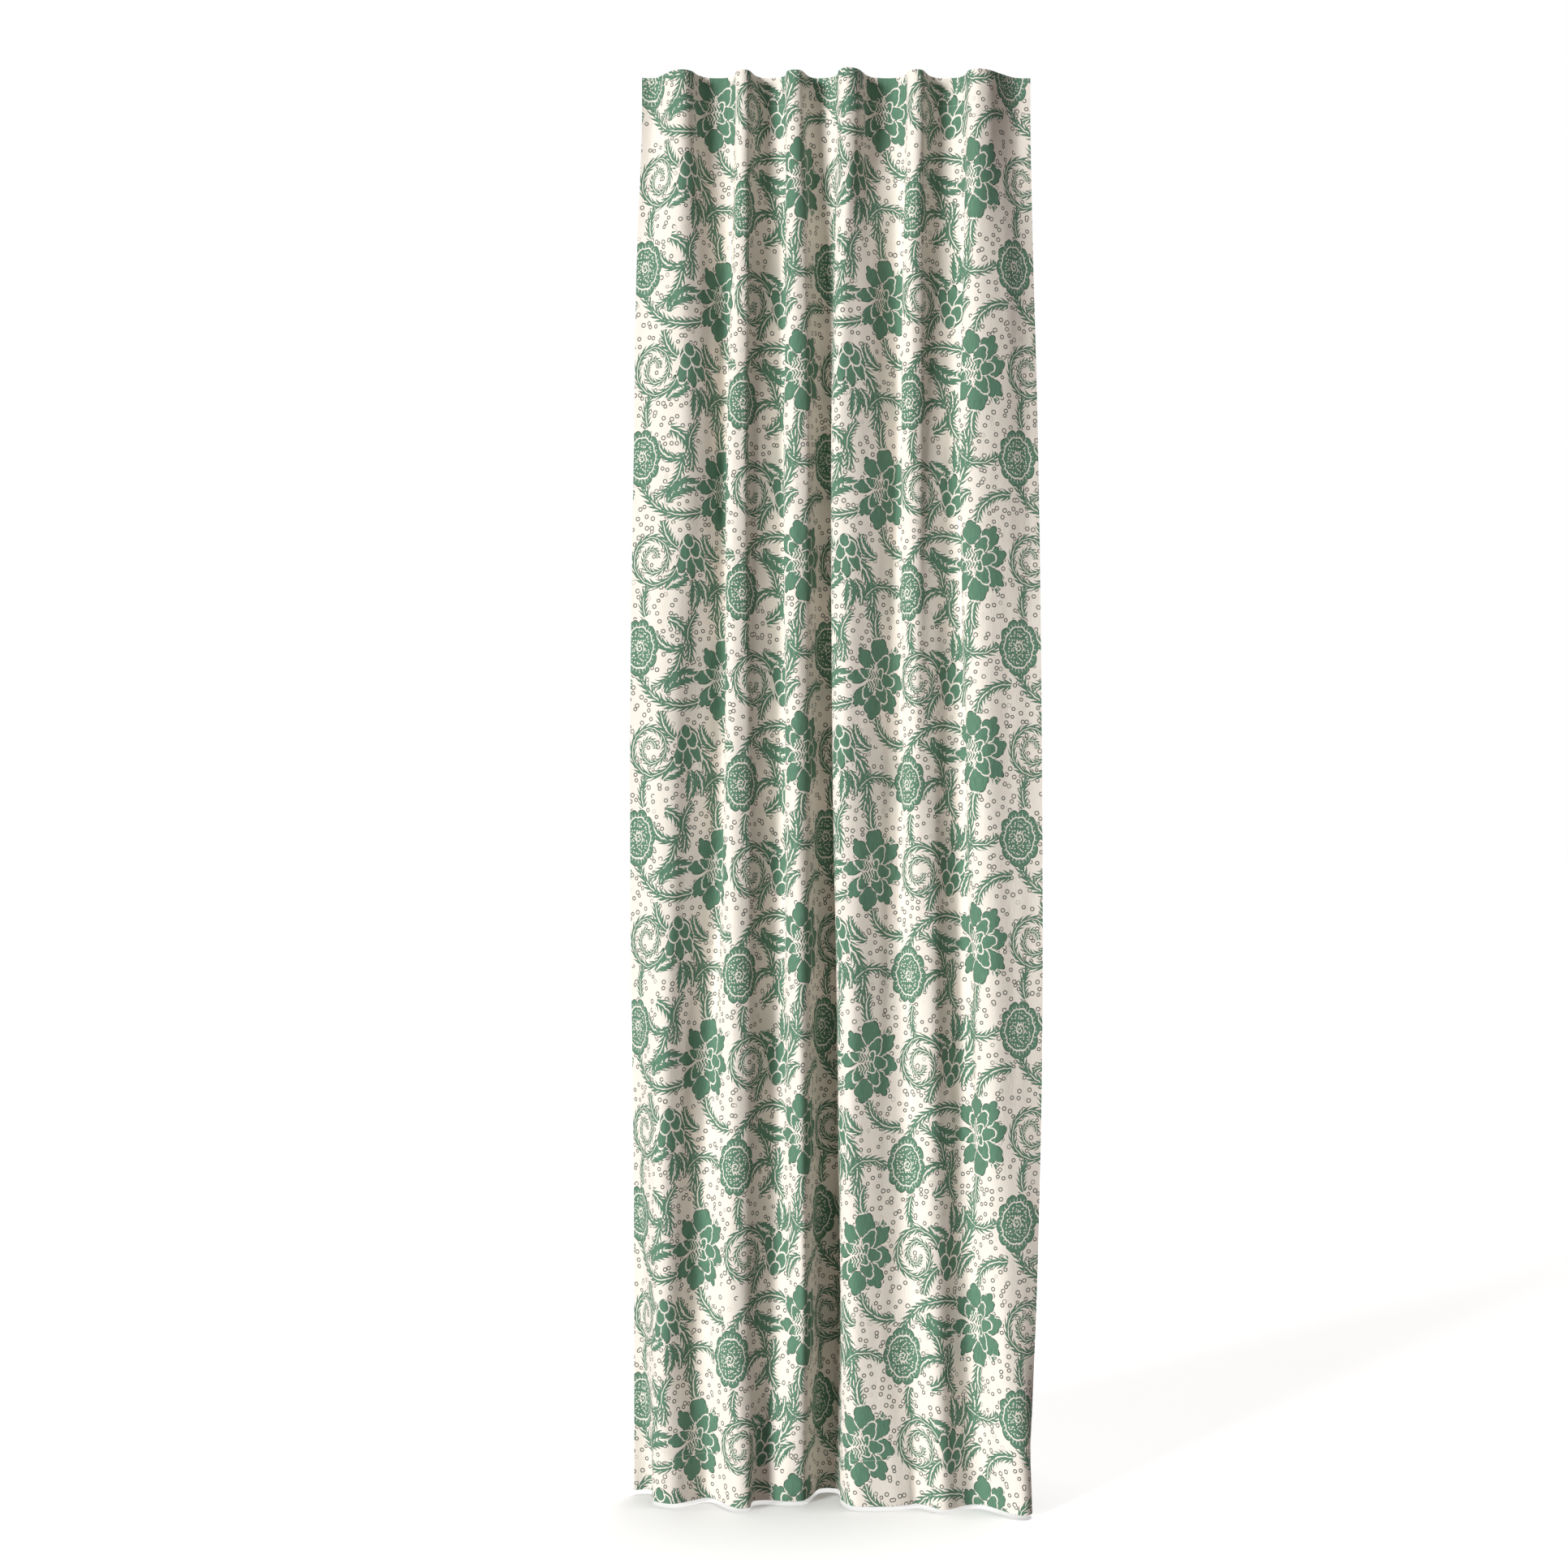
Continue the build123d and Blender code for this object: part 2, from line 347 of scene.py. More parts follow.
def modelStitch():
    # one stitch lying along the width, its two ends rounded off
    bpy.ops.object.select_all(action="DESELECT")
    bpy.ops.mesh.primitive_cylinder_add(vertices=thread["sides"], radius=thread["radius"],
                                        depth=thread["length"], rotation=(0, math.pi / 2, 0))
    stitch = bpy.context.active_object
    bpy.ops.object.transform_apply(rotation=True)
    for face in stitch.data.polygons:
        face.select = abs(face.normal.x) > 0.9
    bpy.context.tool_settings.mesh_select_mode = (False, False, True)
    bpy.ops.object.mode_set(mode="EDIT")
    bpy.ops.mesh.bevel(offset=thread["rounded"], segments=1)
    bpy.ops.object.mode_set(mode="OBJECT")
    corners = np.array([corner.co for corner in stitch.data.vertices])
    faces = [tuple(face.vertices) for face in stitch.data.polygons]
    bpy.data.objects.remove(stitch)
    return corners, faces


stitchCorners, stitchFaces = modelStitch()


def sewRow(places, alongWidth):
    # a copy of the stitch at each place, half sunk in the cloth; places are (across, height, depth)
    along, depth, beside = stitchCorners.T
    spread = np.stack([along, beside, depth] if alongWidth else [beside, along, depth], axis=1)
    points = (np.array(places)[:, None, :] + spread[None, :, :]).reshape(-1, 3)
    faces = [tuple(corner + i * len(stitchCorners) for corner in face)
             for i in range(len(places)) for face in stitchFaces]
    return clothPlace(points[:, 0], points[:, 1], points[:, 2]).tolist(), faces


def sewing(name, rows):
    points, faces = [], []
    for places, alongWidth in rows:
        morePoints, moreFaces = sewRow(places, alongWidth)
        faces += [tuple(corner + len(points) for corner in face) for face in moreFaces]
        points += morePoints
    piece = addMesh(name, points, faces)
    bpy.ops.object.mode_set(mode="EDIT")
    bpy.ops.mesh.select_all(action="SELECT")
    bpy.ops.mesh.normals_make_consistent(inside=False)
    bpy.ops.object.mode_set(mode="OBJECT")
    bpy.ops.object.shade_smooth_by_angle(angle=math.radians(60))
    return piece


def rowAcross(height, depth):
    ends = thread["inFromEnds"]
    return [(u, height, depth) for u in evenly(ends, width - ends, thread["stitch"])], True


backOfTape = tapeDepth + thread["proud"]
clothFaces = (-thread["proud"], layerDepth)   # a hem is sewn through, so its thread shows on both faces
tapeSewing = sewing("tapeStitching", [
    rowAcross(tapeTop - thread["underTapeTop"], backOfTape),
    rowAcross(stitchRows["heading"] + thread["overTapeFoot"], backOfTape)])
hemSewing = sewing("hemStitching", [rowAcross(height, depth) for height in stitchRows.values()
                                    for depth in clothFaces])
sideHeights = evenly(sideTop - thread["inFromEnds"], sideFoot + thread["inFromEnds"],
                     thread["sidePitch"] * thread["stitch"])
inFromSide = hems["side"] - thread["inFromHem"]
sideSewing = sewing("sideStitching", [
    ([(u, z, depth) for z in sideHeights], False)
    for u in (inFromSide, width - inFromSide) for depth in clothFaces])
print("stitches sewn")

# care label: a folded satin loop caught under the bottom of the left side hem
label = {
    "across": 14 * mm, "width": 24 * mm, "drop": 40 * mm, "above": 182 * mm, "thick": 0.18 * mm,
    "belly": 2 * mm, "frontBelly": 0.4, "rows": 14, "offHem": 0.5 * mm, "backOffHem": 1.7 * mm,
    "foldRows": 8, "foldRadius": 0.6 * mm, "foldRow": 0.2 * mm, "backRun": 39 * mm,
}


def buildLabel():
    top = footHeight + label["above"]
    length, radius = label["drop"], label["foldRadius"]
    shares = [i / label["rows"] for i in range(label["rows"] + 1)]

    def lift(share):
        return label["belly"] * math.sin(math.pi * share)

    near = layerDepth + label["offHem"]
    rows = [(top - length * share, near + lift(share) * label["frontBelly"], share * length)
            for share in shares]
    for i in range(1, label["foldRows"]):
        turn = math.pi * i / label["foldRows"]
        rows.append((top - length - radius * math.sin(turn), near + radius * (1 - math.cos(turn)),
                     length + i * label["foldRow"]))
    rows += [(top - length * share, layerDepth + label["backOffHem"] + lift(share),
              2 * length - share * label["backRun"]) for share in shares[::-1]]
    left = label["across"] - label["width"] / 2
    columns = [(u, 0, u) for u in evenly(left, left + label["width"], steps["labelColumn"])]
    return hangSheet("careLabel", columns, rows, label["thick"])


careLabel = buildLabel()
print("care label made")


def paint(red, green, blue):
    return tuple((c / 255 / 12.92 if c <= 10 else ((c / 255 + 0.055) / 1.055) ** 2.4)
                 for c in (red, green, blue)) + (1.0,)


def feed(tree, socket, value):
    # a value comes from another node, or is set on the socket
    if isinstance(value, bpy.types.NodeSocket):
        tree.links.new(value, socket)
    else:
        socket.default_value = value


def calc(tree, kind, *values):
    node = tree.nodes.new("ShaderNodeMath")
    node.operation = kind
    for socket, value in zip(node.inputs, values):
        feed(tree, socket, value)
    return node.outputs[0]


def times(tree, a, b):
    return calc(tree, "MULTIPLY", a, b)


def minus(tree, a, b):
    return calc(tree, "SUBTRACT", a, b)


def timesPlus(tree, a, b, c):
    return calc(tree, "MULTIPLY_ADD", a, b, c)


def clamped(tree, kind, *values):
    result = calc(tree, kind, *values)
    result.node.use_clamp = True
    return result


def vectorCalc(tree, kind, *values):
    node = tree.nodes.new("ShaderNodeVectorMath")
    node.operation = kind
    for socket, value in zip(node.inputs, values):
        feed(tree, socket, value)
    return node.outputs["Value" if kind == "LENGTH" else "Vector"]


def between(tree, a, b):
    return calc(tree, "ABSOLUTE", minus(tree, a, b))


def ripple(tree, value, turns):
    return calc(tree, "SINE", times(tree, value, turns))


def ribbed(tree, value, pitch):
    return ripple(tree, value, 2 * math.pi / pitch)


def scaled(tree, vector, size):
    result = vectorCalc(tree, "SCALE", vector)
    result.node.inputs["Scale"].default_value = size
    return result


def parts(tree, vector, count=2):
    node = tree.nodes.new("ShaderNodeSeparateXYZ")
    tree.links.new(vector, node.inputs[0])
    return node.outputs[:count]


def joined(tree, x, y):
    node = tree.nodes.new("ShaderNodeCombineXYZ")
    feed(tree, node.inputs[0], x)
    feed(tree, node.inputs[1], y)
    return node.outputs[0]


def blend(tree, share, first, second):
    node = tree.nodes.new("ShaderNodeMix")
    node.data_type = "RGBA"
    feed(tree, node.inputs["Factor"], share)
    feed(tree, node.inputs[6], first)
    feed(tree, node.inputs[7], second)
    return node.outputs[2]


def noiseAt(tree, vector, scale, detail=2.0, output="Fac"):
    node = tree.nodes.new("ShaderNodeTexNoise")
    tree.links.new(vector, node.inputs["Vector"])
    node.inputs["Scale"].default_value = scale
    node.inputs["Detail"].default_value = detail
    return node.outputs[output]


placeSockets = ("Flat", "Centre", "Place", "Middle")   # every other socket carries one number
layers = ["Ink", "Pale"]   # distance inside the green, and inside the pale lines drawn over it


def effectGroup(name, inputs, outputs):
    tree = bpy.data.node_groups.new(name, "ShaderNodeTree")
    for socketNames, way in ((inputs, "INPUT"), (outputs, "OUTPUT")):
        for socketName in socketNames:
            kind = "NodeSocketVector" if socketName in placeSockets else "NodeSocketFloat"
            tree.interface.new_socket(name=socketName, in_out=way, socket_type=kind)
    start = tree.nodes.new("NodeGroupInput")
    end = tree.nodes.new("NodeGroupOutput")
    return tree, start.outputs, end.inputs


def useGroup(tree, group, **values):
    node = tree.nodes.new("ShaderNodeGroup")
    node.node_tree = group
    for name, value in values.items():
        feed(tree, node.inputs[name], value)
    return node.outputs


def layOver(tree, start, end, ink, pale, under):
    # a drawn shape goes over what is there already
    tree.links.new(calc(tree, "MAXIMUM", ink, start["Ink"]), end["Ink"])
    tree.links.new(calc(tree, "MAXIMUM", pale, under), end["Pale"])


def ownCoords(tree):
    return tree.nodes.new("ShaderNodeTexCoord").outputs["Object"]


def flatCoords(tree):
    node = tree.nodes.new("ShaderNodeUVMap")
    node.uv_map = "flatCloth"
    return scaled(tree, node.outputs[0], 1 / mm)


# the print repeats every half width, turned upside down each time, and every repeat down
printRepeat = {"halfWidth": 230.0, "down": 320.0, "turnLine": 238.0}


def buildRepeat():
    # where a point is from the nearest copy of a motif
    tree, start, end = effectGroup("nearestRepeat", ["Flat", "Centre"], ["Place"])
    u, v = parts(tree, start["Flat"])
    cx, cy = parts(tree, start["Centre"])
    away = minus(tree, u, cx)
    turn = calc(tree, "ROUND", calc(tree, "DIVIDE", away, printRepeat["halfWidth"]))
    x = timesPlus(tree, turn, -printRepeat["halfWidth"], away)
    odd = calc(tree, "FLOORED_MODULO", turn, 2.0)
    flipped = timesPlus(tree, v, -2.0, printRepeat["turnLine"])
    down = timesPlus(tree, odd, flipped, v)
    halfDown = printRepeat["down"] / 2
    y = calc(tree, "WRAP", minus(tree, down, cy), halfDown, -halfDown)
    tree.links.new(joined(tree, x, y), end["Place"])
    return tree


vineLook = {"lean": 0.1, "barb": 1.35, "taper": 0.4, "ribInLeaf": 0.42, "ribMargin": 0.9}


def barbs(tree, share, off, count, thorn):
    # thorns on both edges in turn, leaning towards the tip of the vine
    outer = calc(tree, "GREATER_THAN", off, 0.0)
    phase = timesPlus(tree, outer, 0.5, times(tree, share, count))
    leaning = timesPlus(tree, calc(tree, "ABSOLUTE", off), -vineLook["lean"], phase)
    teeth = calc(tree, "FRACT", leaning)
    return teeth, times(tree, calc(tree, "POWER", teeth, vineLook["barb"]), thorn)


def buildStroke():
    # one vine or leaf along an arc: thorny edges, a swelling belly and a pale midrib
    names = ["Place", "Middle", "Radius", "Start", "Sweep", "Width", "Belly", "Thorn", "Count", "Rib"]
    tree, start, end = effectGroup("vineStroke", names + layers, layers)
    away = vectorCalc(tree, "SUBTRACT", start["Place"], start["Middle"])
    x, y = parts(tree, away)
    off = minus(tree, vectorCalc(tree, "LENGTH", away), start["Radius"])
    angle = minus(tree, calc(tree, "ARCTAN2", y, x), start["Start"])
    share = calc(tree, "DIVIDE", calc(tree, "WRAP", angle, 2 * math.pi, 0.0), start["Sweep"])
    teeth, spike = barbs(tree, share, off, start["Count"], start["Thorn"])
    swell = ripple(tree, calc(tree, "MINIMUM", share, 1.0), math.pi)
    belly = times(tree, swell, start["Belly"])
    stem = times(tree, start["Width"], timesPlus(tree, share, -vineLook["taper"], 1.0))
    half = calc(tree, "ADD", calc(tree, "ADD", stem, belly), spike)
    across = calc(tree, "ABSOLUTE", off)
    body = minus(tree, half, across)
    left = times(tree, minus(tree, 1.0, share),
                 times(tree, start["Radius"], start["Sweep"]))
    ink = calc(tree, "MINIMUM", body, left)
    leaf = times(tree, belly, teeth)
    ribHalf = timesPlus(tree, leaf, vineLook["ribInLeaf"], start["Rib"])
    pale = calc(tree, "MINIMUM", minus(tree, ribHalf, across),
                minus(tree, ink, vineLook["ribMargin"]))
    hidden = calc(tree, "MINIMUM", start["Pale"], times(tree, body, -1.0))
    layOver(tree, start, end, ink, pale, hidden)
    return tree


spiral = {
    "inner": 9.0, "pitch": 20.5, "turns": 1.95, "narrowed": 1.12, "rib": 0.7, "endSlope": 200.0,
    "stem": 3.0, "stemGrows": 0.6, "thorn": 7.0, "count": 32,
}


def buildSpiral():
    # a thorny tendril that curls in on itself
    tree, start, end = effectGroup("tendrilSpiral", ["Place"] + layers, layers)
    x, y = parts(tree, start["Place"])
    far = vectorCalc(tree, "LENGTH", joined(tree, times(tree, x, spiral["narrowed"]), y))
    angle = calc(tree, "DIVIDE", calc(tree, "ARCTAN2", times(tree, y, -1.0), x), 2 * math.pi)
    coils = calc(tree, "DIVIDE", minus(tree, far, spiral["inner"]), spiral["pitch"])
    wound = minus(tree, coils, angle)
    whole = calc(tree, "ROUND", wound)
    off = times(tree, minus(tree, wound, whole), spiral["pitch"])
    share = calc(tree, "DIVIDE", calc(tree, "ADD", angle, whole), spiral["turns"])
    inward = minus(tree, 1.0, share)
    teeth, spike = barbs(tree, inward, off, spiral["count"], spiral["thorn"])
    across = calc(tree, "ABSOLUTE", off)
    stem = timesPlus(tree, share, spiral["stemGrows"] * spiral["stem"],
                     (1 - spiral["stemGrows"]) * spiral["stem"])
    body = minus(tree, calc(tree, "ADD", spike, stem), across)
    ends = times(tree, calc(tree, "MINIMUM", share, inward), spiral["endSlope"])
    ink = calc(tree, "MINIMUM", body, ends)
    pale = calc(tree, "MINIMUM", minus(tree, spiral["rib"], across),
                minus(tree, ink, vineLook["ribMargin"]))
    layOver(tree, start, end, ink, pale, start["Pale"])
    return tree


def ellipse(tree, place, halfWide, halfTall):
    # distance from the middle as a share of the ellipse, and the angle round it
    x, y = parts(tree, place)
    circle = joined(tree, calc(tree, "DIVIDE", x, halfWide), calc(tree, "DIVIDE", y, halfTall))
    qx, qy = parts(tree, circle)
    return vectorCalc(tree, "LENGTH", circle), calc(tree, "ARCTAN2", qy, qx)


def lobes(tree, angle, count, phase, power):
    wave = calc(tree, "ABSOLUTE", calc(tree, "COSINE", timesPlus(tree, angle, count / 2, phase)))
    return calc(tree, "POWER", wave, power)


def cells(tree, place, size, scatter):
    node = tree.nodes.new("ShaderNodeTexVoronoi")
    node.voronoi_dimensions = "2D"
    tree.links.new(place, node.inputs["Vector"])
    node.inputs["Scale"].default_value = 1 / size
    node.inputs["Randomness"].default_value = scatter
    return times(tree, node.outputs["Distance"], size)


rosette = {
    "halfWide": 36.0, "halfTall": 49.0, "size": 42.0, "margin": 0.6,
    "petals": 10, "phase": 0.3, "roundness": 0.6, "lobe": 0.14,
    "ring": 0.7, "ringSway": 0.06, "ringHalf": 1.1,
    "veinMiddle": 0.79, "veinHalf": 2.4, "speck": 5.0, "speckRadius": 1.2, "speckWithin": 0.6,
    "speckScatter": 0.8, "curlPitch": 0.15, "curlWithin": 0.24,
}
petalLine = {"half": 0.95, "inside": 0.5, "cutTip": 1.6, "cutBase": 0.2}
# petals from back to front: middle, half length, half width, turn in degrees, notches, their depth
peony = [
    (6, -44, 25, 19, 80, 5, 0.22), (31, -26, 24, 16, -38, 5, 0.2), (37, 8, 20, 17, 20, 4, 0.18),
    (25, 38, 24, 17, 62, 5, 0.22), (-5, 49, 21, 17, 95, 4, 0.2), (-27, 30, 22, 14, 130, 5, 0.2),
    (-35, -2, 19, 12, 175, 4, 0.2), (-20, -32, 24, 13, 235, 5, 0.22), (14, -22, 19, 12, -62, 3, 0.14),
    (21, 4, 17, 12, 12, 3, 0.14), (12, 26, 18, 11, 66, 3, 0.14), (-14, 20, 17, 10, 118, 3, 0.14),
    (-17, -8, 16, 9, 200, 3, 0.14), (6, -6, 12, 8, -60, 3, 0.12), (5, 10, 12, 8, 50, 3, 0.12)]
stamens = {
    "middle": (-5, 0, 0), "halfWide": 13, "halfTall": 25, "pitch": 2.7, "sway": 2.2, "wave": 0.42,
    "line": 1.2, "frays": 12, "fray": 0.3, "core": 0.75,
}
bud = [
    (3, 0, 33, 22, 72, 0, 0.0), (-15, 17, 19, 9, 100, 0, 0.0), (1, 22, 19, 9, 84, 0, 0.0),
    (15, 12, 20, 9, 62, 0, 0.0), (-10, -3, 14, 10, 95, 0, 0.0), (8, -8, 15, 10, 75, 0, 0.0),
    (-4, -21, 12, 9, 70, 0, 0.0)]


def buildPetal():
    # one petal laid over those before it: a notched oval, ringed with a pale line where it overlaps
    names = ["Place", "Middle", "Along", "Wide", "Turn", "Notches", "Depth"]
    tree, start, end = effectGroup("printPetal", names + layers, layers)
    turned = tree.nodes.new("ShaderNodeVectorRotate")
    turned.rotation_type = "Z_AXIS"
    turned.invert = True
    tree.links.new(start["Place"], turned.inputs["Vector"])
    tree.links.new(start["Middle"], turned.inputs["Center"])
    tree.links.new(start["Turn"], turned.inputs["Angle"])
    x, y = parts(tree, vectorCalc(tree, "SUBTRACT", turned.outputs[0], start["Middle"]))
    shape = joined(tree, calc(tree, "DIVIDE", x, start["Along"]), calc(tree, "DIVIDE", y, start["Wide"]))
    qx, qy = parts(tree, shape)
    angle = calc(tree, "ARCTAN2", qy, qx)
    wave = calc(tree, "ABSOLUTE", calc(tree, "COSINE", times(tree, angle, start["Notches"])))
    tipward = clamped(tree, "MULTIPLY_ADD", qx, 0.5, 0.5)
    reach = timesPlus(tree, tipward, petalLine["cutTip"], petalLine["cutBase"])
    cut = times(tree, minus(tree, 1.0, calc(tree, "POWER", wave, 0.5)),
                times(tree, start["Depth"], reach))
    left = minus(tree, minus(tree, 1.0, cut), vectorCalc(tree, "LENGTH", shape))
    inside = times(tree, left, start["Wide"])
    edge = minus(tree, petalLine["half"], calc(tree, "ABSOLUTE", inside))
    edge = calc(tree, "MINIMUM", edge, minus(tree, start["Ink"], petalLine["inside"]))
    hidden = calc(tree, "MINIMUM", start["Pale"], times(tree, inside, -1.0))
    layOver(tree, start, end, inside, hidden, edge)
    return tree


def buildFlower(name, petal, petals, withStamens):
    tree, start, end = effectGroup(name, ["Place"] + layers, layers)
    ink, pale = start["Ink"], start["Pale"]
    for x, y, along, wide, turn, notches, depth in petals:
        made = useGroup(tree, petal, Place=start["Place"], Middle=(x, y, 0), Along=along, Wide=wide,
                        Turn=math.radians(turn), Notches=notches / 2, Depth=depth, Ink=ink, Pale=pale)
        ink, pale = made["Ink"], made["Pale"]
    if withStamens:
        near = vectorCalc(tree, "SUBTRACT", start["Place"], stamens["middle"])
        x, y = parts(tree, near)
        far, angle = ellipse(tree, near, stamens["halfWide"], stamens["halfTall"])
        sway = times(tree, ripple(tree, y, stamens["wave"]), stamens["sway"])
        strand = calc(tree, "PINGPONG", calc(tree, "ADD", x, sway), stamens["pitch"])
        frayed = timesPlus(tree, lobes(tree, angle, stamens["frays"], 0.0, 0.8), stamens["fray"],
                           stamens["core"])
        heart = times(tree, minus(tree, frayed, far), stamens["halfWide"])
        line = calc(tree, "MINIMUM", minus(tree, stamens["line"], strand), heart)
        pale = calc(tree, "MAXIMUM", pale, line)
    tree.links.new(ink, end["Ink"])
    tree.links.new(pale, end["Pale"])
    return tree


def buildRosette():
    tree, start, end = effectGroup("printRosette", ["Place"] + layers, layers)
    size = rosette["size"]
    far, angle = ellipse(tree, start["Place"], rosette["halfWide"], rosette["halfTall"])

    def inFrom(edge):
        return times(tree, minus(tree, edge, far), size)

    def band(middle, half):
        return timesPlus(tree, between(tree, far, middle), -size, half)

    petals = lobes(tree, angle, rosette["petals"], rosette["phase"], rosette["roundness"])
    ink = inFrom(timesPlus(tree, petals, rosette["lobe"], 1 - rosette["lobe"]))
    ringSway = rosette["ringSway"]
    ringLine = timesPlus(tree, petals, ringSway, rosette["ring"] - ringSway / 2)
    pale = band(ringLine, rosette["ringHalf"])
    veins = timesPlus(tree, lobes(tree, angle, 3 * rosette["petals"], 0.0, 1.0), -3.0, 0.6)
    veins = calc(tree, "MINIMUM", band(rosette["veinMiddle"], rosette["veinHalf"]), veins)
    pale = calc(tree, "MAXIMUM", pale, veins)
    speck = cells(tree, start["Place"], rosette["speck"], rosette["speckScatter"])
    speck = minus(tree, rosette["speckRadius"], speck)
    pale = calc(tree, "MAXIMUM", pale, calc(tree, "MINIMUM", speck, inFrom(rosette["speckWithin"])))
    curl = calc(tree, "FRACT", minus(tree, calc(tree, "DIVIDE", far, rosette["curlPitch"]),
                                     calc(tree, "DIVIDE", angle, 2 * math.pi)))
    curl = timesPlus(tree, between(tree, curl, 0.5), -6.0, 0.9)
    pale = calc(tree, "MAXIMUM", pale, calc(tree, "MINIMUM", curl, inFrom(rosette["curlWithin"])))
    pale = calc(tree, "MINIMUM", pale, minus(tree, ink, rosette["margin"]))
    layOver(tree, start, end, ink, pale, start["Pale"])
    return tree


# vines and leaves as arcs: middle, radius, start and sweep in degrees, then half width, belly, thorn,
# count of thorns and rib
strokes = {
    "rose": {"centre": (45, 50), "arcs": [
        ((75, 25), 78, 55, 110, 3.2, 0.6, 9.0, 13, 0.8),
        ((8, 8), 66, -8, 84, 3.0, 0.5, 8.4, 9, 0.75),
        ((92, 98), 46, 200, 100, 1.2, 10.0, 6.5, 6, 0.6),
        ((62, -22), 30, 60, 120, 1.4, 4.4, 5.5, 5, 0.5)]},
    "bud": {"centre": (85, 225), "arcs": [
        ((52, 246), 88, -62, 84, 3.6, 2.0, 10.5, 10, 0.9),
        ((160, 262), 40, 205, 120, 2.8, 0.8, 8.6, 8, 0.7),
        ((96, 272), 66, 222, 44, 0.9, 10.0, 4.5, 5, 0.7),
        ((38, 234), 62, -24, 52, 0.9, 9.0, 4.5, 5, 0.7),
        ((74, 244), 46, -46, 60, 0.8, 5.4, 4.0, 5, 0.6),
        ((98, 112), 56, 125, 55, 3.2, 1.6, 9.0, 6, 0.7),
        ((56, 252), 50, 155, 62, 2.8, 0.7, 7.6, 6, 0.7),
        ((36, 330), 55, -72, 92, 3.4, 1.6, 9.6, 8, 0.8),
        ((132, 304), 46, 168, 66, 2.6, 1.2, 8.0, 6, 0.6),
        ((200, 288), 52, 148, 60, 3.0, 1.4, 8.4, 6, 0.75)]},
    "peony": {"centre": (160, 70), "arcs": [
        ((206, 120), 50, 78, 100, 3.2, 1.0, 8.6, 9, 0.75),
        ((150, 140), 34, 95, 95, 1.4, 6.0, 6.0, 6, 0.6),
        ((222, 40), 42, 120, 110, 3.0, 1.2, 8.4, 8, 0.7)]},
}
flowerPlaces = {"spiral": (24, 175), "rosette": (0, 5), "peony": (152, 57), "bud": (90, 168)}
ringSpots = {
    "size": 15.0, "radius": 2.5, "spread": 0.9, "line": 0.85, "clear": 1.4, "scatter": 1.0,
    "absent": 0.15, "fadeIn": 6.0, "sharp": 2.0,
}
wobble = {"size": 11.0, "far": 5.0}
inkEdge = {"soft": 0.5, "outline": 0.8, "outlineEnd": 1.9, "nothingYet": -50.0}


def buildPrint():
    tree, start, end = effectGroup("floralPrint", ["Flat"], ["Ink", "Outline", "Rings"])
    repeat, stroke = buildRepeat(), buildStroke()
    ink = pale = inkEdge["nothingYet"]

    def placeAt(centre):
        place = useGroup(tree, repeat, Flat=start["Flat"], Centre=(*centre, 0))["Place"]
        shift = noiseAt(tree, place, 1 / wobble["size"], 1.0, "Color")
        away = vectorCalc(tree, "SUBTRACT", shift, (0.5, 0.5, 0.5))
        return vectorCalc(tree, "ADD", place, scaled(tree, away, wobble["far"]))

    petal = buildPetal()
    makers = {"rosette": buildRosette(), "peony": buildFlower("printPeony", petal, peony, True),
              "bud": buildFlower("printBud", petal, bud, False), "spiral": buildSpiral()}
    for spray in strokes.values():
        place = placeAt(spray["centre"])
        for (mx, my), radius, begin, sweep, half, belly, thorn, count, rib in spray["arcs"]:
            middle = (mx - spray["centre"][0], my - spray["centre"][1], 0)
            made = useGroup(tree, stroke, Place=place, Middle=middle, Radius=radius,
                            Start=math.radians(begin), Sweep=math.radians(sweep), Width=half,
                            Belly=belly, Thorn=thorn, Count=count, Rib=rib, Ink=ink, Pale=pale)
            ink, pale = made["Ink"], made["Pale"]
    for flower, centre in flowerPlaces.items():
        made = useGroup(tree, makers[flower], Place=placeAt(centre), Ink=ink, Pale=pale)
        ink, pale = made["Ink"], made["Pale"]
    inkMask = clamped(tree, "MULTIPLY_ADD", ink, 1 / inkEdge["soft"], 0.5)
    paleMask = clamped(tree, "MULTIPLY_ADD", pale, -1 / inkEdge["soft"], 0.5)
    tree.links.new(times(tree, inkMask, paleMask), end["Ink"])
    outline = clamped(tree, "MULTIPLY_ADD", ink, -1 / inkEdge["outline"], inkEdge["outlineEnd"])
    tree.links.new(outline, end["Outline"])
    spot = cells(tree, start["Flat"], ringSpots["size"], ringSpots["scatter"])
    chance, spread = parts(tree, spot.node.inputs[0].links[0].from_node.outputs["Color"])
    radius = timesPlus(tree, spread, ringSpots["spread"], ringSpots["radius"])
    line = minus(tree, ringSpots["line"], between(tree, spot, radius))
    shown = times(tree, minus(tree, chance, ringSpots["absent"]), ringSpots["fadeIn"])
    line = calc(tree, "MINIMUM", line, shown)
    clear = minus(tree, -ringSpots["clear"], ink)
    rings = clamped(tree, "MULTIPLY_ADD", calc(tree, "MINIMUM", line, clear), ringSpots["sharp"], 0.5)
    tree.links.new(rings, end["Rings"])
    return tree


weaveLook = {
    "crease": {"down": 0.16, "scale": 0.3, "detail": 3.0},
    "slub": {"down": 0.05, "scale": 1.1, "detail": 2.0},
    "threadHeight": 0.12, "slubHeight": 0.35,
}


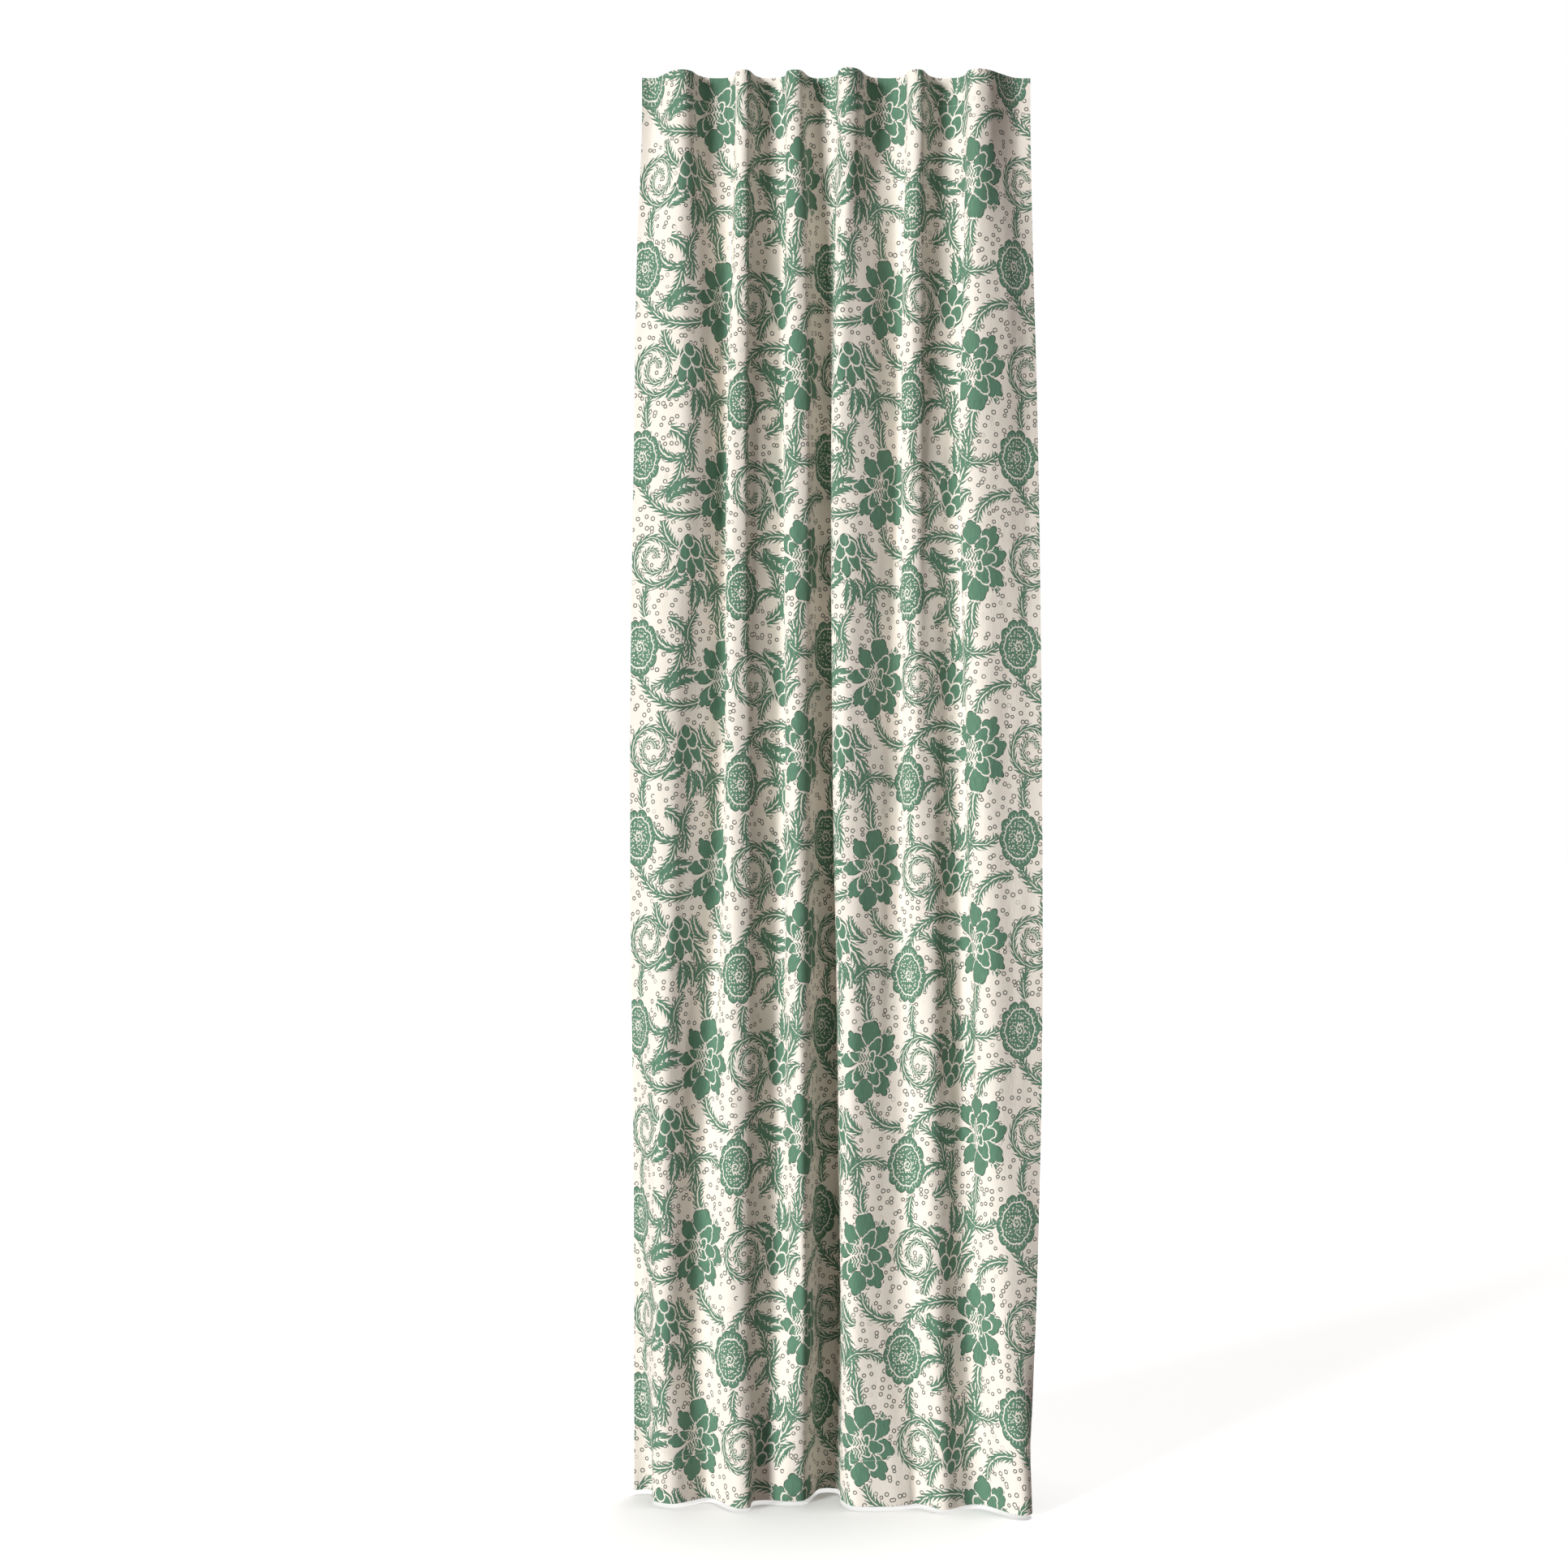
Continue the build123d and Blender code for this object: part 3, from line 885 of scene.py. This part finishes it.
def buildWeave():
    # threads, slubs and soft creases, all drawn out down the cloth
    tree, start, end = effectGroup("clothWeave", ["Flat", "Across", "Down"], ["Height", "Slub"])
    x, y = parts(tree, start["Flat"])
    warp = ripple(tree, x, start["Across"])
    weft = ripple(tree, y, start["Down"])

    def drawnOut(look):
        longer = joined(tree, x, times(tree, y, look["down"]))
        return noiseAt(tree, longer, look["scale"], look["detail"])

    slub = drawnOut(weaveLook["slub"])
    crossings = times(tree, times(tree, warp, weft), weaveLook["threadHeight"])
    height = calc(tree, "ADD", drawnOut(weaveLook["crease"]), crossings)
    height = timesPlus(tree, slub, weaveLook["slubHeight"], height)
    tree.links.new(height, end["Height"])
    tree.links.new(slub, end["Slub"])
    return tree


floralPrint = buildPrint()
clothWeave = buildWeave()


def newMaterial(name, roughness, **settings):
    material = bpy.data.materials.new(name)
    material.use_nodes = True
    shader = material.node_tree.nodes["Principled BSDF"]
    shader.inputs["Roughness"].default_value = roughness
    for socket, value in settings.items():
        shader.inputs[socket.replace("_", " ")].default_value = value
    return material, material.node_tree, shader


def tint(tree, shader, share, dark, light):
    colour = blend(tree, share, paint(*dark), paint(*light))
    tree.links.new(colour, shader.inputs["Base Color"])


def addBump(tree, shader, height, distance, strength=0.6):
    bump = tree.nodes.new("ShaderNodeBump")
    bump.inputs["Strength"].default_value = strength
    bump.inputs["Distance"].default_value = distance
    tree.links.new(height, bump.inputs["Height"])
    tree.links.new(bump.outputs[0], shader.inputs["Normal"])


cottonColours = {
    "ground": paint(241, 234, 224), "groundShade": paint(231, 221, 209),
    "green": paint(82, 119, 97), "greenWorn": paint(104, 143, 119),
    "outline": paint(34, 58, 44), "rings": paint(40, 52, 42),
}
cottonWeave = {"across": 2 * math.pi / 0.55, "down": 2 * math.pi / 0.6, "bump": 0.9 * mm}
cottonWear = {"green": (2.6, -0.9), "outline": 0.85, "rings": 0.9, "roughness": (0.12, 0.82)}


def buildCotton(name, strength):
    material, tree, shader = newMaterial(name, 0.88, Specular_IOR_Level=0.25, Sheen_Weight=0.08)
    flat = flatCoords(tree)
    weave = useGroup(tree, clothWeave, Flat=flat, Across=cottonWeave["across"], Down=cottonWeave["down"])
    masks = useGroup(tree, floralPrint, Flat=flat)
    ground = blend(tree, weave["Slub"], cottonColours["groundShade"], cottonColours["ground"])
    worn = timesPlus(tree, weave["Slub"], *cottonWear["green"])
    green = blend(tree, worn, cottonColours["green"], cottonColours["greenWorn"])
    green.node.clamp_factor = True
    outlined = times(tree, masks["Outline"], cottonWear["outline"])
    green = blend(tree, outlined, green, cottonColours["outline"])
    colour = blend(tree, times(tree, masks["Ink"], strength), ground, green)
    ringed = times(tree, masks["Rings"], strength * cottonWear["rings"])
    colour = blend(tree, ringed, colour, cottonColours["rings"])
    tree.links.new(colour, shader.inputs["Base Color"])
    roughness = timesPlus(tree, weave["Slub"], *cottonWear["roughness"])
    tree.links.new(roughness, shader.inputs["Roughness"])
    addBump(tree, shader, weave["Height"], cottonWeave["bump"])
    return material


printedCotton = buildCotton("printedCotton", 1.0)
cottonReverse = buildCotton("cottonReverse", 0.34)
print("cotton print made")


# pitches and bumps of the plain finishes, in millimetres and metres
tapeLook = {"rib": 1.6, "band": 3.5, "cord": 7.0, "bump": 0.4 * mm}
pocketLook = {"warp": 0.8, "weft": 0.7, "bump": 0.25 * mm}
labelLook = {"rib": 0.5, "cross": 0.9, "bump": 0.08 * mm}
# how often the nylon's flow marks and grain, and the thread's fibres, come in a metre
fineScale = {"flow": 260.0, "grain": 2400.0, "fibre": 1800.0, "grainBump": 0.05 * mm}


def buildTapeWeave():
    # woven tape: fine herringbone bands with a raised selvedge cord every few millimetres
    material, tree, shader = newMaterial("headingTapeWeave", 0.8, Specular_IOR_Level=0.3)
    x, y = parts(tree, flatCoords(tree))
    bands = calc(tree, "PINGPONG", y, tapeLook["band"])
    ribs = ribbed(tree, calc(tree, "ADD", x, bands), tapeLook["rib"])
    cords = ribbed(tree, y, tapeLook["cord"])
    height = timesPlus(tree, ribs, 0.4, times(tree, cords, 0.5))
    tint(tree, shader, timesPlus(tree, ribs, 0.5, 0.5), (226, 220, 206), (246, 242, 232))
    addBump(tree, shader, height, tapeLook["bump"])
    return material


def buildPocketWeave():
    material, tree, shader = newMaterial("pocketWeave", 0.8, Specular_IOR_Level=0.3)
    x, y, z = parts(tree, scaled(tree, ownCoords(tree), 1 / mm), 3)
    warp = ribbed(tree, calc(tree, "ADD", x, y), pocketLook["warp"])
    weft = ribbed(tree, z, pocketLook["weft"])
    weave = times(tree, warp, weft)
    tint(tree, shader, timesPlus(tree, weave, 0.5, 0.5), (222, 216, 202), (244, 240, 230))
    addBump(tree, shader, weave, pocketLook["bump"])
    return material


def buildThread():
    material, tree, shader = newMaterial("sewingThread", 0.6, Specular_IOR_Level=0.35)
    fibre = noiseAt(tree, ownCoords(tree), fineScale["fibre"])
    tint(tree, shader, fibre, (228, 222, 208), (248, 245, 236))
    return material


def buildLabelSatin():
    material, tree, shader = newMaterial("labelSatin", 0.35, Specular_IOR_Level=0.5, Anisotropic=0.4)
    x, y = parts(tree, flatCoords(tree))
    ribs = ribbed(tree, x, labelLook["rib"])
    fine = timesPlus(tree, ribbed(tree, y, labelLook["cross"]), 0.3, ribs)
    tint(tree, shader, timesPlus(tree, fine, 0.4, 0.5), (240, 240, 238), (250, 250, 249))
    addBump(tree, shader, fine, labelLook["bump"])
    return material


def buildHookNylon():
    material, tree, shader = newMaterial("hookNylon", 0.42, Subsurface_Weight=0.15, IOR=1.53)
    shader.inputs["Subsurface Radius"].default_value = (0.002, 0.002, 0.002)
    flow = noiseAt(tree, ownCoords(tree), fineScale["flow"], 3.0)
    grain = noiseAt(tree, ownCoords(tree), fineScale["grain"])
    tint(tree, shader, flow, (232, 230, 222), (246, 245, 240))
    tree.links.new(timesPlus(tree, flow, 0.2, 0.32), shader.inputs["Roughness"])
    addBump(tree, shader, grain, fineScale["grainBump"])
    return material


headingTapeWeave = buildTapeWeave()
pocketWeave = buildPocketWeave()
sewingThread = buildThread()
labelSatin = buildLabelSatin()
hookNylon = buildHookNylon()


def dress(piece, front, back=None):
    slots = piece.data.materials
    if len(slots) == 0:
        slots.append(front)
    else:
        slots[0] = front
        slots[1] = back or front


for piece in (clothPanel, headingTurnover, bottomHem, sideHemLeft, sideHemRight):
    dress(piece, printedCotton, cottonReverse)
dress(headingTape, headingTapeWeave)
dress(careLabel, labelSatin)
for piece in (tapeSewing, hemSewing, sideSewing):
    dress(piece, sewingThread)
for name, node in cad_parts.items():
    if name.startswith("hook_") or name.startswith("tape_pocket_"):
        finish = hookNylon if name.startswith("hook_") else pocketWeave
        for slot in node.material_slots:
            slot.material = finish
print("materials dressed")


# the curtain's pieces, with the CAD node each stands for and its slot
standsFor = [
    (clothPanel, "cloth_panel", "printed_cotton"),
    (headingTurnover, "heading_turnover", "printed_cotton"),
    (bottomHem, "bottom_hem", "printed_cotton"),
    (sideHemLeft, "side_hem_left", "printed_cotton"),
    (sideHemRight, "side_hem_right", "printed_cotton"),
    (headingTape, "heading_tape", "tape_weave"),
    (careLabel, "care_label", "label_weave"),
    (tapeSewing, None, "tape_weave"),
    (hemSewing, None, "tape_weave"),
    (sideSewing, None, "tape_weave"),
]
for piece, node, slotName in standsFor:
    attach(piece, "curtain")
    if node:
        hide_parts(node)
    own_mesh(piece)


studio = {
    "floorGap": 8 * mm, "floorSize": 60,
    "camera": (0.226, -3.7, -1.18), "lens": 50, "aim": (0.31, 0, -1.18),
    "air": 0.12, "airTint": (1.0, 0.86, 0.8, 1.0),
    # each lamp shines from this place towards the middle of the curtain, soft over this angle
    "lamps": [
        {"name": "keyLamp", "from": (-3.0, -2.9, 0.9), "soft": 14, "power": 4.1, "tint": (0.98, 1.0, 1.0)},
        {"name": "fillLamp", "from": (2.2, -3.4, 0.4), "soft": 40, "power": 0.3, "tint": (1.0, 0.95, 0.9)},
        {"name": "topLamp", "from": (0.2, 0.2, 4.0), "soft": 20, "power": 2.5, "tint": (1.0, 1.0, 1.0)},
        {"name": "backLamp", "from": (1.5, 3.0, 0.2), "soft": 50, "power": 1.8, "tint": (1.0, 1.0, 1.0)},
    ],
}
floorHeight = footHeight - studio["floorGap"]
bpy.ops.mesh.primitive_plane_add(size=studio["floorSize"], location=(studio["aim"][0], 0, floorHeight))
floor = bpy.context.active_object
floor.name = "studioFloor"
bpy.ops.object.transform_apply(location=True)
floorPaint, floorTree, floorShader = newMaterial("floorPaint", 0.9, Specular_IOR_Level=0.1)
tint(floorTree, floorShader, noiseAt(floorTree, ownCoords(floorTree), 1.5), (250, 250, 250), (253, 253, 253))
dress(floor, floorPaint)
floor.visible_diffuse = False   # a white floor would flood the folds with light from below

world = bpy.data.worlds.new("studioAir")
bpy.context.scene.world = world
world.use_nodes = True
airTree = world.node_tree
air = airTree.nodes["Background"]
# the backdrop is plain white, while the air lights the cloth only softly
toCamera = airTree.nodes.new("ShaderNodeLightPath").outputs["Is Camera Ray"]
tinted = blend(airTree, toCamera, studio["airTint"], (1.0, 1.0, 1.0, 1.0))
airTree.links.new(tinted, air.inputs["Color"])
backdrop = calc(airTree, "MULTIPLY_ADD", toCamera, 1 - studio["air"], studio["air"])
airTree.links.new(backdrop, air.inputs["Strength"])

for lamp in studio["lamps"]:
    data = bpy.data.lights.new(lamp["name"], "SUN")
    data.angle = math.radians(lamp["soft"])
    data.energy = lamp["power"]
    data.color = lamp["tint"]
    light = bpy.data.objects.new(lamp["name"], data)
    bpy.context.collection.objects.link(light)
    light.location = Vector(studio["aim"]) + Vector(lamp["from"])
    light.rotation_euler = (-Vector(lamp["from"])).to_track_quat("-Z", "Y").to_euler()

camera = bpy.data.objects.new("camera", bpy.data.cameras.new("camera"))
bpy.context.collection.objects.link(camera)
camera.location = studio["camera"]
camera.rotation_euler = (math.pi / 2, 0, 0)
camera.data.lens = studio["lens"]
camera.data.sensor_width = 36
bpy.context.scene.camera = camera
bpy.context.scene.view_settings.view_transform = "Standard"
print("studio lit")
